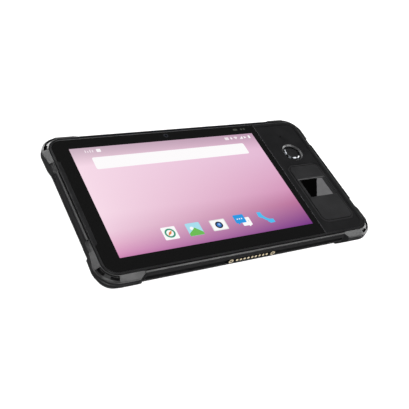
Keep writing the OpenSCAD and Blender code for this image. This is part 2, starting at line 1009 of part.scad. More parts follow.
module flash_lens() {
    color([0.95, 0.93, 0.8])
        disc(flash_x, camera_back_y, 2.5, back_z, 2.4);
}

module front_camera() {
    color([0.1, 0.1, 0.12]) {
        block([camera_x - 3.5, camera_x + 3.5], [57.4, 64], [12, 14.4]);
        disc(camera_x, eyes_y, 2.4, 14.3, tape_z);
    }
}

module light_sensor_board() {
    color([0.05, 0.3, 0.16])
        block([sensor_x - 8, sensor_x + 8], [58, 61.8], [14.4, tape_z]);
}

module speaker() {
    color([0.12, 0.12, 0.12])
        block([speaker_x - 13, speaker_x + 13], [speaker_y - 6, speaker_y + 6], [2.9, 7]);
}

module speaker_mesh() {
    color([0.4, 0.4, 0.4])
        block([speaker_x - 13, speaker_x + 13], [speaker_y - 6, speaker_y + 6], [floor_z, 2.9]);
}

module vibration_motor() {
    color([0.7, 0.7, 0.7])
        disc(48, -50, 5, floor_z, 5.8);
}

front_frame();
rear_shell();
case_gasket();
mid_frame();
case_screws();
strap_inserts();
bumper(-1, -1);  // bumper_bottom_left
bumper(1, -1);  // bumper_bottom_right
bumper(-1, 1);  // bumper_top_left
bumper(1, 1);  // bumper_top_right
cover_glass();
glass_adhesive();
display_panel();
backlight_unit();
left_bezel_strip();
control_panel();
microphone_mesh();
microphone();
button_cap();
button_ring();
button_switch();
button_board();
reader_bezel();
reader_prism();
reader_housing();
reader_sensor_board();
reader_lights();
dock_housing();
dock_contacts();
dock_guide_rings();
dock_board();
power_key();
volume_rocker();
volume_rocker_pin();
key_switches();
key_board();
port_cover();
port_cover_pin();
usb_socket();
audio_socket();
card_socket();
port_board();
main_board();
processor_shield();
radio_shield();
radio_antenna();
near_field_coil();
battery();
battery_contacts();
battery_cover();
battery_cover_gasket();
battery_cover_screws();
rear_camera();
rear_camera_window();
flash_lens();
front_camera();
light_sensor_board();
speaker();
speaker_mesh();
vibration_motor();
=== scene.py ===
"""Looks for the rugged tablet: softened case parts, a lit picture behind black glass, a control
panel with a chrome-ringed button and a fingerprint reader, and a dock connector.

Lengths below are millimetres, turned into Blender's metres by MM. Places come from the frame's
boxes. "Left", "right", "near" and "far" are -X, +X, -Y and +Y, as seen by a person who reads the
display.
"""

import math

import bmesh
import bpy
from mathutils import Matrix, Vector
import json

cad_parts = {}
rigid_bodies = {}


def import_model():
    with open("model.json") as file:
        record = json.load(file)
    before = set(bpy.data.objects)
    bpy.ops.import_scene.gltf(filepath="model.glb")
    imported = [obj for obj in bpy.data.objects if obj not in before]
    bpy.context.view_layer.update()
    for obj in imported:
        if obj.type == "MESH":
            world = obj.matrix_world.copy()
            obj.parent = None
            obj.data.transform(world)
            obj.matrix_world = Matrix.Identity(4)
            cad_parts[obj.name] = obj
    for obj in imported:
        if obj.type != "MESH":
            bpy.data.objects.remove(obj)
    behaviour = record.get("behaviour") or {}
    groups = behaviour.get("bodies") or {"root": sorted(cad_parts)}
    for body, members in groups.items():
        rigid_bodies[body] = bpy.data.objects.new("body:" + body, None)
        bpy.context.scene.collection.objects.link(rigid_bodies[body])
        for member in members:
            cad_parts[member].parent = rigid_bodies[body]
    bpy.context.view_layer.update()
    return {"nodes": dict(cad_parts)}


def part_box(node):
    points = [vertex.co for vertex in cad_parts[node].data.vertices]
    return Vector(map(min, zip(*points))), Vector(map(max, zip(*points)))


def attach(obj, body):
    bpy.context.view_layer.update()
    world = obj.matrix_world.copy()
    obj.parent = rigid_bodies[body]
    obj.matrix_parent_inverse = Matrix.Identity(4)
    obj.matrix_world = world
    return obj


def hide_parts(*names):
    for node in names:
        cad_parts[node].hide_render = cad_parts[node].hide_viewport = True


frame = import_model()

MM = 0.001


# ---------------------------------------------------------------- boxes and measures


class Box:
    """A node's box in millimetres."""

    def __init__(self, node):
        low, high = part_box(node)
        self.low = Vector(low) / MM
        self.high = Vector(high) / MM

    @property
    def mid(self):
        return (self.low + self.high) / 2


GLASS = Box("cover_glass")
DISPLAY = Box("display_panel")
FRAME = Box("front_frame")
PANEL = Box("control_panel")
READER = Box("reader_bezel")
PRISM = Box("reader_prism")
RING = Box("button_ring")
GLASS_TOP = GLASS.high.z

# Depths of the control panel's sunk field, of the long walls' sunk panels and of the rim's groove.
FIELD_DROP = 0.4
WALL_DROP = 0.8
GROOVE_DROP = 1.5

# Angles in degrees between two faces: nearly flat, rounded off, and shaded as a crease.
FLAT_ANGLE = 0.6
ROUNDED_ANGLE = 22
CREASE_ANGLE = 40

# The display's black margin round its lit area: 2.6 wide, and 1.4 along the far side.
LIT_LEFT = DISPLAY.low.x + 2.6
LIT_RIGHT = DISPLAY.high.x - 2.6
LIT_NEAR = DISPLAY.low.y + 2.6
LIT_FAR = DISPLAY.high.y - 1.4
LIT_X = (LIT_LEFT + LIT_RIGHT) / 2
LIT_Y = (LIT_NEAR + LIT_FAR) / 2


# ---------------------------------------------------------------- colours and node helpers


def srgb(r, g, b):
    """Linear colour for a screen colour given from 0 to 255."""

    def linear(c):
        c /= 255
        return c / 12.92 if c <= 0.04045 else ((c + 0.055) / 1.055) ** 2.4

    return (linear(r), linear(g), linear(b), 1)


class Shader:
    """A Principled material whose noise and ramps are added one call at a time."""

    def __init__(self, name, color, roughness=0.5, metallic=0.0):
        self.mat = bpy.data.materials.new(name)
        self.mat.use_nodes = True
        self.tree = self.mat.node_tree
        self.surface = self.tree.nodes["Principled BSDF"]
        self.put("Base Color", color)
        self.put("Roughness", roughness)
        self.put("Metallic", metallic)

    def put(self, socket, value):
        self.surface.inputs[socket].default_value = value

    def node(self, kind, **settings):
        made = self.tree.nodes.new(kind)
        for key, value in settings.items():
            setattr(made, key, value)
        return made

    def link(self, source, target):
        self.tree.links.new(source, target)

    def noise(self, size, detail=3.0, roughness=0.55):
        """Noise whose blotches are about size millimetres across. Returns its factor."""
        place = self.node("ShaderNodeTexCoord")
        made = self.node("ShaderNodeTexNoise")
        made.inputs["Scale"].default_value = 1 / (size * MM)
        made.inputs["Detail"].default_value = detail
        made.inputs["Roughness"].default_value = roughness
        self.link(place.outputs["Object"], made.inputs["Vector"])
        return made.outputs["Fac"]

    def ramp(self, factor, stops):
        """Colour ramp with stops of (position, colour)."""
        made = self.node("ShaderNodeValToRGB")
        points = made.color_ramp.elements
        while len(points) < len(stops):
            points.new(0.5)
        for point, (place, color) in zip(points, stops):
            point.position = place
            point.color = color
        self.link(factor, made.inputs["Fac"])
        return made.outputs["Color"]

    def spread(self, factor, low, high):
        """Maps a noise factor, mostly from 0.3 to 0.7, to a plain range."""
        made = self.node("ShaderNodeMapRange")
        made.inputs["From Min"].default_value = 0.3
        made.inputs["From Max"].default_value = 0.7
        made.inputs["To Min"].default_value = low
        made.inputs["To Max"].default_value = high
        self.link(factor, made.inputs["Value"])
        return made.outputs["Result"]

    def grain(self, size, depth, strength=0.5):
        """Moulded grain: a fine bump, size and depth in millimetres."""
        bump = self.node("ShaderNodeBump")
        bump.inputs["Strength"].default_value = strength
        bump.inputs["Distance"].default_value = depth * MM
        self.link(self.noise(size), bump.inputs["Height"])
        self.link(bump.outputs["Normal"], self.surface.inputs["Normal"])
        return self

    def mottle(self, size, dark, light):
        """Slight change of colour over blotches of this size."""
        color = self.ramp(self.noise(size), [(0.35, dark), (0.65, light)])
        self.link(color, self.surface.inputs["Base Color"])
        return self

    def handling(self, size, low, high):
        """Roughness that changes where hands have polished the surface."""
        self.link(self.spread(self.noise(size), low, high), self.surface.inputs["Roughness"])
        return self


def moulded(name, grey, roughness, grain_size, grain_depth, strength=0.5, shine=0.35):
    """Moulded black plastic or rubber of this screen grey; shine is its specular level."""
    made = Shader(name, srgb(grey, grey, grey + 1), roughness)
    made.put("Specular IOR Level", shine)
    made.mottle(14, srgb(grey - 3, grey - 3, grey - 2), srgb(grey + 3, grey + 3, grey + 4))
    made.handling(9, roughness - 0.06, roughness + 0.06)
    return made.grain(grain_size, grain_depth, strength).mat


def metal(name, color, roughness, brush=0.8):
    """Worn metal; brush is the size of its marks in millimetres."""
    made = Shader(name, color, roughness, metallic=1.0)
    made.handling(brush, roughness * 0.8, roughness * 1.25)
    return made.grain(brush / 2, 0.004, 0.25).mat


def worn_gold(name, level):
    """Satin gold plate rubbed by contact; level dims it, and a level below 1 paints shade."""
    pale = tuple(level * c for c in srgb(252, 240, 214)[:3]) + (1,)
    deep = tuple(level * c for c in srgb(238, 216, 172)[:3]) + (1,)
    made = Shader(name, pale, 0.4, metallic=0.35)
    return made.mottle(0.8, deep, pale).handling(0.6, 0.35, 0.5).mat


def lit(name, color, strength=1.0):
    """A glowing patch of the picture under polished glass."""
    made = Shader(name, srgb(5, 5, 5), 0.12).handling(12, 0.1, 0.14)
    made.put("Emission Color", color)
    made.put("Emission Strength", strength)
    return made.mat


def wallpaper():
    """The picture's background: pale pink to purple, deeper to the right and the near side."""
    made = Shader("picture_wallpaper", srgb(5, 5, 5), 0.12)
    place = made.node("ShaderNodeTexCoord")
    split = made.node("ShaderNodeSeparateXYZ")
    made.link(place.outputs["Object"], split.inputs["Vector"])

    def along(axis, start, end):
        """0 at start and 1 at end, both in millimetres."""
        ranged = made.node("ShaderNodeMapRange")
        ranged.inputs["From Min"].default_value = start * MM
        ranged.inputs["From Max"].default_value = end * MM
        made.link(split.outputs[axis], ranged.inputs["Value"])
        return ranged.outputs["Result"]

    def mix(kind, factor, a, b):
        """Blends two colours. Sockets 6, 7 and 2 are the node's colour A, colour B and result."""
        mixed = made.node("ShaderNodeMix", data_type="RGBA", blend_type=kind)
        mixed.inputs["Factor"].default_value = 1
        if factor:
            made.link(factor, mixed.inputs["Factor"])
        made.link(a, mixed.inputs[6])
        made.link(b, mixed.inputs[7])
        return mixed.outputs[2]

    sideways = made.node("ShaderNodeMath", operation="POWER")
    made.link(along("X", LIT_LEFT, LIT_RIGHT), sideways.inputs[0])
    sideways.inputs[1].default_value = 0.8
    down = along("Y", LIT_FAR, LIT_NEAR)
    left = made.ramp(down, [
        (0.00, srgb(247, 219, 233)), (0.62, srgb(247, 219, 233)), (0.78, srgb(240, 206, 224)),
        (0.88, srgb(231, 182, 208)), (0.965, srgb(218, 153, 192)), (1.00, srgb(206, 134, 180)),
    ])
    right = made.ramp(down, [
        (0.00, srgb(233, 192, 217)), (0.25, srgb(228, 186, 213)), (0.50, srgb(220, 167, 198)),
        (0.64, srgb(212, 151, 187)), (0.78, srgb(186, 114, 156)), (1.00, srgb(118, 52, 136)),
    ])
    band = made.ramp(down, [
        (0.00, (0.62, 0.60, 0.63, 1)), (0.04, (0.68, 0.67, 0.69, 1)),
        (0.10, (0.82, 0.81, 0.82, 1)), (0.18, (1, 1, 1, 1)),
    ])
    sky = mix("MIX", sideways.outputs["Value"], left, right)
    made.link(mix("MULTIPLY", None, sky, band), made.surface.inputs["Emission Color"])
    made.put("Emission Strength", 1.0)
    return made.handling(12, 0.1, 0.14).mat


def glass_black():
    """Polished glass over black ink, with the faintest uneven shine."""
    made = Shader("black_glass", srgb(16, 16, 16), 0.08)
    made.put("Specular IOR Level", 0.4)
    return made.handling(40, 0.06, 0.1).mat


M = {
    "case": moulded("case_plastic", 25, 0.36, 0.35, 0.01, shine=0.42),
    "shell": moulded("shell_plastic", 18, 0.45, 0.5, 0.03),
    "rubber": moulded("bumper_rubber", 20, 0.4, 0.3, 0.02, shine=0.5),
    "panel": moulded("panel_plastic", 27, 0.42, 0.3, 0.01, shine=0.28),
    "reader": moulded("reader_plastic", 42, 0.42, 0.3, 0.01, shine=0.35),
    "strip": moulded("strip_plastic", 27, 0.62, 0.25, 0.01, shine=0.2),
    "button": moulded("button_plastic", 28, 0.45, 0.25, 0.01),
    "dock": moulded("dock_plastic", 5, 0.5, 0.3, 0.01, shine=0.12),
    "gasket": moulded("gasket_rubber", 48, 0.7, 0.3, 0.02),
    "component": moulded("component_plastic", 34, 0.5, 0.3, 0.01),
    "glass": glass_black(),
    # Near-black plastic that paints shade: in the frame's sunk panels and groove, on the panel's
    # field wall, on the reader's ledge and in the microphone's hole.
    "painted_shade": moulded("painted_shade_plastic", 9, 0.5, 0.5, 0.03, shine=0.15),
    "chrome": Shader("bright_trim", srgb(112, 114, 117), 0.12, 1.0).handling(3, 0.1, 0.14).mat,
    "steel": metal("plated_steel", srgb(160, 160, 164), 0.3),
    "alloy": metal("cast_alloy", srgb(176, 178, 182), 0.45),
    "gold": worn_gold("gold_plate", 1.0),
    # Gold dimmed to a quarter paints shade on all but the near ends of the dock guide rings.
    "gold_painted_shade": worn_gold("gold_plate_painted_shade", 0.25),
    "copper": metal("copper_foil", srgb(196, 128, 84), 0.35),
}


# ---------------------------------------------------------------- mesh helpers


def add(name, mesh, body="tablet", replaces=()):
    """A piece that rides this body and stands in for the CAD nodes that it replaces."""
    piece = bpy.data.objects.new(name, mesh)
    bpy.context.scene.collection.objects.link(piece)
    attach(piece, body)
    if replaces:
        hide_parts(*replaces)
    return piece


def turns_more(edge, angle):
    """True where two faces meet at more than this many degrees."""
    return len(edge.link_faces) == 2 and edge.calc_face_angle(0) > math.radians(angle)


def crease(bm):
    """Smooth shading everywhere but over the edges that turn sharply."""
    for face in bm.faces:
        face.smooth = True
    for edge in bm.edges:
        if turns_more(edge, CREASE_ANGLE):
            edge.smooth = False


def evenly_shaded(mesh):
    """The same mesh with its normals weighted by area, so that flat faces shade flat."""
    holder = bpy.data.objects.new("holder", mesh)
    bpy.context.scene.collection.objects.link(holder)
    holder.modifiers.new("weights", "WEIGHTED_NORMAL").keep_sharp = True
    graph = bpy.context.evaluated_depsgraph_get()
    baked = bpy.data.meshes.new_from_object(holder.evaluated_get(graph), depsgraph=graph)
    bpy.data.objects.remove(holder)
    baked.name = mesh.name + "_even"
    return baked


def softened(node, material, width=0.15, body="tablet", picked=None, other=None):
    """Stands a copy of a CAD node, with its sharp edges rounded, in the node's place.

    Faces for which picked(centre, normal) holds, centre in millimetres, take the other material.
    """
    bm = bmesh.new()
    bm.from_mesh(frame["nodes"][node].data)
    bmesh.ops.remove_doubles(bm, verts=bm.verts, dist=1e-6)
    bmesh.ops.dissolve_limit(bm, angle_limit=math.radians(FLAT_ANGLE), verts=bm.verts,
                             edges=bm.edges)
    sharp = [edge for edge in bm.edges if turns_more(edge, ROUNDED_ANGLE)]
    bmesh.ops.bevel(bm, geom=sharp, offset=width * MM, segments=2, profile=0.6,
                    affect="EDGES", clamp_overlap=True, loop_slide=True)
    crease(bm)
    mesh = bpy.data.meshes.new(node + "_soft")
    bm.to_mesh(mesh)
    bm.free()
    mesh = evenly_shaded(mesh)
    mesh.materials.append(material)
    if picked:
        mesh.materials.append(other)
        for face in mesh.polygons:
            face.material_index = int(picked(face.center / MM, face.normal))
    return add(node + "_soft", mesh, body, (node,))


def rounded(x0, y0, x1, y1, r, steps=6):
    """Corner points of a rounded rectangle, anticlockwise."""
    points = []
    for cx, cy, start in ((x1 - r, y1 - r, 0), (x0 + r, y1 - r, 90),
                          (x0 + r, y0 + r, 180), (x1 - r, y0 + r, 270)):
        for i in range(steps + 1):
            a = math.radians(start + 90 * i / steps)
            points.append((cx + r * math.cos(a), cy + r * math.sin(a)))
    return points


def arc(cx, cy, r, start=0.0, end=360.0, steps=32):
    """Points along an arc; a full circle leaves out its repeated end."""
    full = abs(end - start) >= 360
    count = steps if full else steps + 1
    return [(cx + r * math.cos(math.radians(start + (end - start) * i / steps)),
             cy + r * math.sin(math.radians(start + (end - start) * i / steps)))
            for i in range(count)]


def patch(name, shapes, z, thickness=0.0):
    """Flat patches at one height. Each shape is (points, material, lift)."""
    bm = bmesh.new()
    mesh = bpy.data.meshes.new(name)
    for points, material, lift in shapes:
        if material.name not in mesh.materials:
            mesh.materials.append(material)
        level = (z + lift) * MM
        verts = [bm.verts.new((x * MM, y * MM, level)) for x, y in points]
        face = bm.faces.new(verts)
        face.material_index = mesh.materials.find(material.name)
        if face.normal.z < 0:
            face.normal_flip()
    if thickness:
        made = bmesh.ops.extrude_face_region(bm, geom=bm.faces[:])
        moved = [v for v in made["geom"] if isinstance(v, bmesh.types.BMVert)]
        bmesh.ops.translate(bm, verts=moved, vec=(0, 0, thickness * MM))
        bmesh.ops.recalc_face_normals(bm, faces=bm.faces)
    bm.normal_update()
    bm.to_mesh(mesh)
    bm.free()
    return add(name, mesh)


def stroke(points, width):
    """Outline of a thin band that follows the points, for line drawings."""
    left, right = [], []
    for i, (x, y) in enumerate(points):
        x0, y0 = points[max(i - 1, 0)]
        x1, y1 = points[min(i + 1, len(points) - 1)]
        length = math.hypot(x1 - x0, y1 - y0)
        nx, ny = -(y1 - y0) / length * width / 2, (x1 - x0) / length * width / 2
        left.append((x + nx, y + ny))
        right.append((x - nx, y - ny))
    return left + right[::-1]


# ---------------------------------------------------------------- case


def in_frame_hollow(centre, normal):
    """Floors of the long walls' sunk panels, and of the groove round the rim, where shade is
    painted.
    """
    depth = FRAME.high.y - abs(centre.y)
    in_wall = abs(depth - WALL_DROP) < 0.1 and abs(normal.y) > 0.9 and 8.5 < centre.z < 13.5
    groove_depth = FRAME.high.z - centre.z
    return in_wall or (abs(groove_depth - GROOVE_DROP) < 0.1 and normal.z > 0.9)


def on_field_wall(centre, normal):
    """The low wall between the control panel's border and its sunk field, where shade is painted.
    """
    return abs(normal.z) < 0.5 and PANEL.high.z - FIELD_DROP < centre.z


def on_front_of_ring(centre, normal):
    """The near end of a guide ring, in plain gold; the ring's other faces, its bore among them,
    take dimmed gold as painted shade.
    """
    return normal.y < -0.6


def dress_case():
    """Rounds the edges of the outer parts and gives them their materials."""
    # The frame's sunk panels and groove take near-black plastic as painted shade.
    softened("front_frame", M["case"], 0.08,
             picked=in_frame_hollow, other=M["painted_shade"])
    softened("dock_guide_rings", M["gold_painted_shade"], 0.05,
             picked=on_front_of_ring, other=M["gold"])
    softened("rear_shell", M["shell"], 0.12)
    for corner in ("bottom_left", "bottom_right", "top_left", "top_right"):
        softened("bumper_" + corner, M["rubber"], 0.25)
    softened("left_bezel_strip", M["strip"], 0.1)
    softened("cover_glass", M["glass"], 0.25)
    # The panel's field wall takes near-black plastic as painted shade.
    softened("control_panel", M["panel"], 0.1,
             picked=on_field_wall, other=M["painted_shade"])
    softened("reader_bezel", M["reader"], 0.1)
    softened("button_cap", M["button"], 0.2, "round_button")
    softened("battery_cover", M["shell"], 0.15)
    softened("port_cover", M["rubber"], 0.12, "port_door")
    softened("power_key", M["button"], 0.2, "power_button")
    softened("volume_rocker", M["button"], 0.2, "volume_button")


# The microphone mesh takes the near-black plastic that paints shade in its hole.
PLAIN_FINISH = {
    "case_gasket": "gasket", "mid_frame": "alloy", "case_screws": "steel",
    "strap_inserts": "gold", "glass_adhesive": "gasket", "microphone_mesh": "painted_shade",
    "microphone": "steel", "button_switch": "component", "reader_housing": "component",
    "dock_housing": "dock", "dock_contacts": "gold", "volume_rocker_pin": "steel",
    "key_switches": "component", "port_cover_pin": "steel", "usb_socket": "steel",
    "audio_socket": "component", "card_socket": "steel", "processor_shield": "steel",
    "radio_shield": "steel", "radio_antenna": "copper", "near_field_coil": "copper",
    "battery": "component", "battery_contacts": "gold", "battery_cover_gasket": "gasket",
    "battery_cover_screws": "steel", "rear_camera": "component", "front_camera": "component",
    "speaker": "component", "speaker_mesh": "steel", "vibration_motor": "steel",
}
BOARDS = ("button_board", "reader_sensor_board", "dock_board", "key_board", "port_board",
          "main_board", "light_sensor_board")


def dress_nodes():
    """Gives the CAD nodes that stay their materials."""
    board = Shader("circuit_board", srgb(20, 74, 44), 0.35)
    board.mottle(2, srgb(16, 62, 38), srgb(26, 86, 50)).grain(1.2, 0.02)
    lamp = Shader("lamp_lens", srgb(236, 230, 200), 0.3).grain(0.6, 0.05)
    sheet = Shader("backlight_sheet", srgb(214, 216, 220), 0.25).grain(0.5, 0.01)
    lens = Shader("lens_glass", srgb(12, 14, 22), 0.05)
    lens.put("Coat Weight", 1.0)
    lens.handling(3, 0.04, 0.08)
    finish = {node: M[key] for node, key in PLAIN_FINISH.items()}
    for node in BOARDS:
        finish[node] = board.mat
    finish.update(reader_lights=lamp.mat, flash_lens=lamp.mat, backlight_unit=sheet.mat,
                  rear_camera_window=lens.mat)
    for node, material in finish.items():
        mesh = frame["nodes"][node].data
        mesh.materials.clear()
        mesh.materials.append(material)


# ---------------------------------------------------------------- lit picture


def make_picture():
    """The lit picture, just proud of the glass so that it shows where the display shines."""
    white = lit("picture_white", srgb(252, 250, 251))
    shapes = [(rounded(LIT_LEFT, LIT_NEAR, LIT_RIGHT, LIT_FAR, 0.3, 2), wallpaper(), 0.0)]
    bar = rounded(LIT_X - 71.5, LIT_Y + 30, LIT_X + 70.5, LIT_Y + 42.7, 1.6)
    shapes.append((bar, white, 0.01))
    picture = patch("display_picture", shapes, GLASS_TOP + 0.01)
    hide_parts("display_panel")


def at_icon(dx, dy):
    """A place given from the middle of the lit area."""
    return LIT_X + dx, LIT_Y + dy


def make_icons():
    """Plain pictograms along the near side: a dial, a picture, a camera, speech and a handset."""
    white = lit("icon_white", srgb(250, 250, 250))
    grey = lit("icon_grey", srgb(196, 198, 202))
    teal = lit("icon_teal", srgb(58, 150, 120))
    amber = lit("icon_amber", srgb(226, 130, 60))
    dark = lit("icon_dark", srgb(34, 44, 58))
    blue = lit("icon_blue", srgb(62, 122, 200))
    glint = lit("icon_glint", srgb(150, 190, 232))
    pale = lit("icon_pale_blue", srgb(168, 222, 238))
    speech = lit("icon_speech_blue", srgb(44, 152, 226))
    sky = lit("icon_sky", srgb(78, 190, 240))
    green = lit("icon_green", srgb(108, 188, 84))
    shade = lit("icon_shade", srgb(226, 226, 224))
    shapes = []

    x, y = at_icon(-40.3, -40)
    needle = [(x - 0.9, y + 0.6), (x - 2.2, y - 2.4), (x + 0.9, y - 0.6), (x + 2.2, y + 2.4)]
    shapes += [(rounded(x - 5.9, y - 5.9, x + 5.9, y + 5.9, 0.9), white, 0.0),
               (arc(x, y, 4.3), teal, 0.01), (arc(x, y, 2.9), white, 0.02),
               (needle, amber, 0.03)]

    x, y = at_icon(-19.4, -40)
    shapes += [(rounded(x - 6.1, y - 6.1, x + 6.1, y + 6.1, 0.9), pale, 0.0),
               (arc(x - 2, y + 1, 1.6), white, 0.01),
               ([(x - 6, y - 6), (x + 6, y - 6), (x + 6, y - 3.6), (x + 0.4, y + 1.4),
                 (x - 6, y - 3.6)], green, 0.02)]

    x, y = at_icon(2.3, -39.8)
    shapes += [(rounded(x - 6.9, y - 5.3, x + 6.9, y + 5.3, 0.9), shade, 0.0),
               (rounded(x - 6.1, y - 4.6, x + 6.1, y + 4.6, 0.7), white, 0.01),
               (arc(x + 0.1, y - 0.1, 3.3), dark, 0.02), (arc(x + 0.1, y - 0.1, 2), blue, 0.03),
               (arc(x + 0.4, y + 0.4, 0.9), glint, 0.04)]

    x, y = at_icon(22.6, -37.4)
    shapes += [(rounded(x + 0.5, y - 7.5, x + 8.8, y + 0.6, 0.8), white, 0.0),
               ([(x + 5, y - 7), (x + 8, y - 7), (x + 6, y - 8.8)], white, 0.0),
               ([(x + 6.5, y - 4), (x + 7.1, y - 4), (x + 7.1, y - 2.6), (x + 6.5, y - 2.6)],
                grey, 0.01),
               (rounded(x - 4.8, y - 4.2, x + 4.8, y + 4.2, 0.9), speech, 0.02),
               ([(x - 3.4, y - 3.8), (x - 0.8, y - 3.8), (x - 2.6, y - 5.8)], speech, 0.02)]
    shapes += [(arc(x - 2 + 2 * i, y, 0.62, steps=12), white, 0.03) for i in range(3)]

    x, y = at_icon(46.6, -40)
    shapes += handset(x, y, sky)
    patch("display_icons", shapes, GLASS_TOP + 0.04)


def handset(x, y, color):
    """A telephone handset: a thin curved grip with a fat block at each end."""
    grip = stroke(arc(x + 6.5, y + 6.5, 10.6, 190, 260, 12), 2.7)
    ear = [(x - 5.9, y + 6.2), (x - 6.2, y + 1.6), (x - 4.2, y - 0.2), (x - 1.9, y + 1.8),
           (x - 2.4, y + 5.9)]
    mouth = [(x + (py - y), y + (px - x)) for px, py in ear]
    return [(grip, color, 0.0), (ear, color, 0.01), (mouth, color, 0.01)]


def make_status_marks():
    """Small plain marks along the far side of the picture, with no lettering."""
    white = lit("status_white", srgb(250, 246, 249))
    faint = lit("status_faint", srgb(238, 226, 233))
    y = LIT_Y + 49.7
    left = LIT_X - 74.6
    shapes = [(rounded(left + 2 * i, y - 1.5, left + 2 * i + 0.9, y + tall, 0.3, 2), faint, 0.0)
              for i, tall in enumerate((1.2, 0.4, 1.5, 1.1))]
    shapes.append((rounded(LIT_X - 64.9, y - 1.7, LIT_X - 61.2, y + 1.7, 0.5, 2), white, 0.0))
    x = LIT_X + 55.2
    shapes += [
        (rounded(x, y - 1.6, x + 4, y + 1.6, 0.5, 2), faint, 0.0),
        ([(x + 6.8, y - 1.8), (x + 8, y), (x + 6.8, y + 1.8), (x + 5.8, y)], white, 0.0),
        (arc(x + 11.4, y - 1.6, 3.2, 50, 130, 8) + [(x + 11.4, y - 1.7)], faint, 0.0),
        ([(x + 15, y - 1.7), (x + 18.6, y - 1.7), (x + 18.6, y + 1.7)], white, 0.0),
        ([(x + 20.2, y - 1.5), (x + 22.8, y - 0.2), (x + 20.2, y + 1.4)], white, 0.0),
        (rounded(x + 24.7, y - 1.7, x + 26.8, y + 1.7, 0.4, 2), white, 0.0),
    ]
    patch("display_status_marks", shapes, GLASS_TOP + 0.04)


# ---------------------------------------------------------------- glass details


def make_glass_details():
    """Front camera and light sensors under the far border of the glass; the sensor windows are
    painted with a faint glow.
    """
    rim = Shader("camera_rim", srgb(44, 45, 48), 0.2).handling(1, 0.16, 0.26).mat
    eye = Shader("camera_eye", srgb(14, 16, 24), 0.05).handling(1, 0.04, 0.08).mat
    # Faint glow painted on the sensor windows, which are no lamps.
    window = lit("sensor_window_painted_glow", srgb(64, 66, 60))
    camera = Box("front_camera").mid
    sensors = Box("light_sensor_board").mid
    far = LIT_Y + 59.8
    shapes = [(arc(camera.x, far, 2.2), rim, 0.0), (arc(camera.x, far, 1.3), eye, 0.01),
              (rounded(sensors.x - 6.2, far - 1.2, sensors.x - 1.6, far + 1.2, 1.0), window, 0.0),
              (arc(sensors.x + 2.6, far, 1.1, steps=16), window, 0.0),
              (arc(sensors.x + 5.6, far, 1.1, steps=16), window, 0.0)]
    patch("glass_eyes", shapes, GLASS_TOP + 0.01)


def make_seam_highlight():
    """A pale band in the seam between the glass and the control panel: a painted highlight along
    the glass's edge.
    """
    # The pale grey paints a highlight along the glass's edge.
    highlight = Shader("seam_highlight_paint", srgb(84, 84, 86), 0.6).mottle(
        6, srgb(78, 78, 80), srgb(90, 90, 92)).mat
    shape = [(GLASS.high.x, PANEL.low.y), (PANEL.low.x, PANEL.low.y),
             (PANEL.low.x, PANEL.high.y), (GLASS.high.x, PANEL.high.y)]
    patch("seam_painted_highlight", [(shape, highlight, 0.0)], GLASS_TOP - 0.08)


# ---------------------------------------------------------------- back


def ring_band(cx, cy, inner, outer, steps=48):
    """Outline of a flat ring, cut open along one radius."""
    return arc(cx, cy, outer, 0, 359.9, steps) + arc(cx, cy, inner, 0, 359.9, steps)[::-1]


def make_back_details():
    """Camera trim, a blank rating label and the flash's frame, on the rear shell."""
    window = Box("rear_camera_window")
    flash = Box("flash_lens").mid
    camera = window.mid
    back = window.low.z
    trim = Shader("camera_trim", srgb(70, 72, 76), 0.3, metallic=0.8).handling(2, 0.25, 0.4).mat
    inner = Shader("camera_baffle", srgb(10, 10, 12), 0.25).grain(0.4, 0.01).mat
    eye = Shader("rear_camera_eye", srgb(24, 30, 52), 0.05).handling(1.5, 0.04, 0.1).mat
    label = Shader("label_foil", srgb(168, 170, 172), 0.5)
    label.mottle(9, srgb(160, 162, 164), srgb(176, 178, 180)).handling(12, 0.42, 0.6)
    border = Shader("label_border", srgb(60, 62, 64), 0.55).mottle(
        5, srgb(52, 54, 56), srgb(68, 70, 72)).mat
    shapes = [
        (ring_band(camera.x, camera.y, 5.3, 6.4), trim, 0.0),
        (ring_band(camera.x, camera.y, 3.1, 4.9), inner, 0.0),
        (arc(camera.x, camera.y, 2.2), eye, 0.0),
        (ring_band(flash.x, flash.y, 2.7, 3.3), trim, 0.0),
        (rounded(54, -26, 98, 22, 1.5), border, 0.0),
        (rounded(54.6, -25.4, 97.4, 21.4, 1.1), label.mat, -0.02),
    ]
    patch("back_details", shapes, back - 0.06)


# ---------------------------------------------------------------- button ring


def turned(name, profile, centre, material, replaces=()):
    """Spins a closed profile of (radius, z) once round a vertical axis."""
    bm = bmesh.new()
    rings = []
    steps = 96
    for i in range(steps):
        a = math.tau * i / steps
        rings.append([bm.verts.new(((centre.x + r * math.cos(a)) * MM,
                                    (centre.y + r * math.sin(a)) * MM, z * MM))
                      for r, z in profile])
    for i, ring in enumerate(rings):
        following = rings[(i + 1) % steps]
        for k in range(len(profile)):
            n = (k + 1) % len(profile)
            bm.faces.new((ring[k], following[k], following[n], ring[n]))
    bmesh.ops.recalc_face_normals(bm, faces=bm.faces)
    crease(bm)
    mesh = bpy.data.meshes.new(name)
    bm.to_mesh(mesh)
    bm.free()
    mesh.materials.append(material)
    return add(name, mesh, replaces=replaces)


